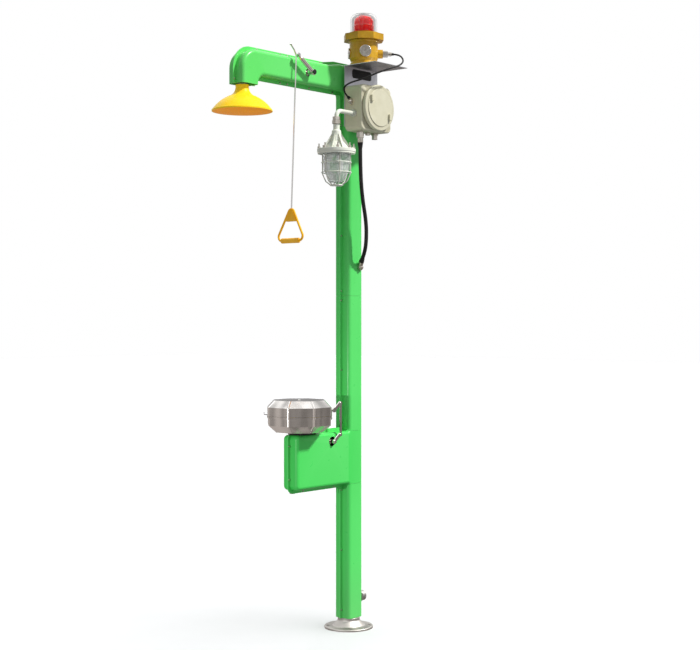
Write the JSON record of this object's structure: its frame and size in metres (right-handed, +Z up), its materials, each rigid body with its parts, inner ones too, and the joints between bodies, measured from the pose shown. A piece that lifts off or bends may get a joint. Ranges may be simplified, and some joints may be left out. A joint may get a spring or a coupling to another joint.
{
  "type": "emergency shower and eyewash station",
  "caption": "Insulated floor-standing column with a covered octagonal eyewash bowl, an overhead shower on an arm, a pull handle, an alarm beacon, a caged lamp and a junction box.",
  "frame": {"origin": "centre of the floor flange's bolt circle, on the column axis at floor level", "axes": "+Z up the column; the shower arm and the eyewash bowl point along -Y; the junction box is on the +X side"},
  "size_m": [0.3763, 0.8705, 2.5484],
  "materials": {
    "green_casing": "gloss",
    "stainless": "brushed",
    "flange_steel": "satin",
    "pipe_steel": "satin",
    "seal": "matte",
    "foam": "matte",
    "black_rubber": "matte",
    "yellow_plastic": "gloss",
    "handle_yellow": "semi-gloss",
    "cast_grey": "semi-gloss",
    "cast_yellow": "semi-gloss",
    "lamp_grey": "semi-gloss",
    "plated": "bright",
    "glass": "clear",
    "red_lens": "clear",
    "board": "matte",
    "terminal": "matte"
  },
  "bodies": {
    "station": {"lower_covers": "green_casing", "tee_covers": "green_casing", "middle_covers": "green_casing", "upper_covers": "green_casing", "arm_covers": "green_casing", "elbow_covers": "green_casing", "cover_screws": "plated", "floor_flange": "flange_steel", "riser_pipes": "pipe_steel", "pipe_fittings": "pipe_steel", "inlet_nipple": "pipe_steel", "inlet_plug": "plated", "arm_pipes": "pipe_steel", "insulation": "foam", "heat_trace_cable": "black_rubber", "shower_head": "yellow_plastic", "shower_face": "yellow_plastic", "shower_valve_body": "plated", "valve_seats": "seal", "eyewash_bowl": "stainless", "eyewash_valve_body": "plated", "branch_pipes": "pipe_steel", "spray_yoke": "plated", "spray_nozzles": "yellow_plastic", "bowl_seat": "black_rubber", "bowl_drain": "stainless", "bracket": "stainless", "slot_blank": "black_rubber", "bracket_clamps": "pipe_steel", "box_body": "cast_grey", "box_cover": "cast_grey", "terminal_blocks": "terminal", "conduit_glands": "plated", "cable_glands": "plated", "blanking_plugs": "plated", "beacon_body": "cast_yellow", "beacon_ring": "cast_yellow", "beacon_dome": "glass", "beacon_lens": "red_lens", "beacon_light_board": "board", "lamp_pipe": "lamp_grey", "lamp_body": "lamp_grey", "lamp_fasteners": "plated", "lamp_cage": "lamp_grey", "lamp_glass": "glass", "lamp_holder": "board", "lamp_bulb": "glass", "conduit": "black_rubber", "beacon_cable": "black_rubber"},
    "shower_lever_body": {"shower_lever": "stainless", "shower_valve_ball": "plated"},
    "pull_rod_body": {"pull_rod": "stainless", "pull_handle": "handle_yellow", "handle_grip": "handle_yellow"},
    "cover_body": {"bowl_cover": "stainless", "hinge_crank": "stainless"},
    "eyewash_lever_body": {"eyewash_lever": "stainless", "eyewash_valve_ball": "plated"},
    "link_body": {"link_bar": "stainless"}
  },
  "joints": [
    {"name": "shower_lever_turn", "type": "hinge", "parent": "station", "child": "shower_lever_body", "pos_m": [0.066, -0.302, 2.283], "axis": [1, 0, 0], "range_deg": [0, 90]},
    {"name": "pull_rod_swing", "type": "hinge", "parent": "shower_lever_body", "child": "pull_rod_body", "pos_m": [0.066, -0.38922, 2.33964], "axis": [1, 0, 0], "range_deg": [-90, 0]},
    {"name": "cover_lift", "type": "hinge", "parent": "station", "child": "cover_body", "pos_m": [0, -0.153, 0.921], "axis": [-1, 0, 0], "range_deg": [0, 95]},
    {"name": "eyewash_valve_turn", "type": "hinge", "parent": "station", "child": "eyewash_lever_body", "pos_m": [0, -0.153, 0.792], "axis": [-1, 0, 0], "range_deg": [0, 95]},
    {"name": "link_swing", "type": "hinge", "parent": "eyewash_lever_body", "child": "link_body", "pos_m": [0.053, -0.118, 0.819], "axis": [-1, 0, 0], "range_deg": [-95, 0]}
  ],
  "couplings": [
    {"joint": "pull_rod_swing", "follows": "shower_lever_turn", "ratio": -1},
    {"joint": "eyewash_valve_turn", "follows": "cover_lift", "ratio": 1},
    {"joint": "link_swing", "follows": "cover_lift", "ratio": -1}
  ]
}
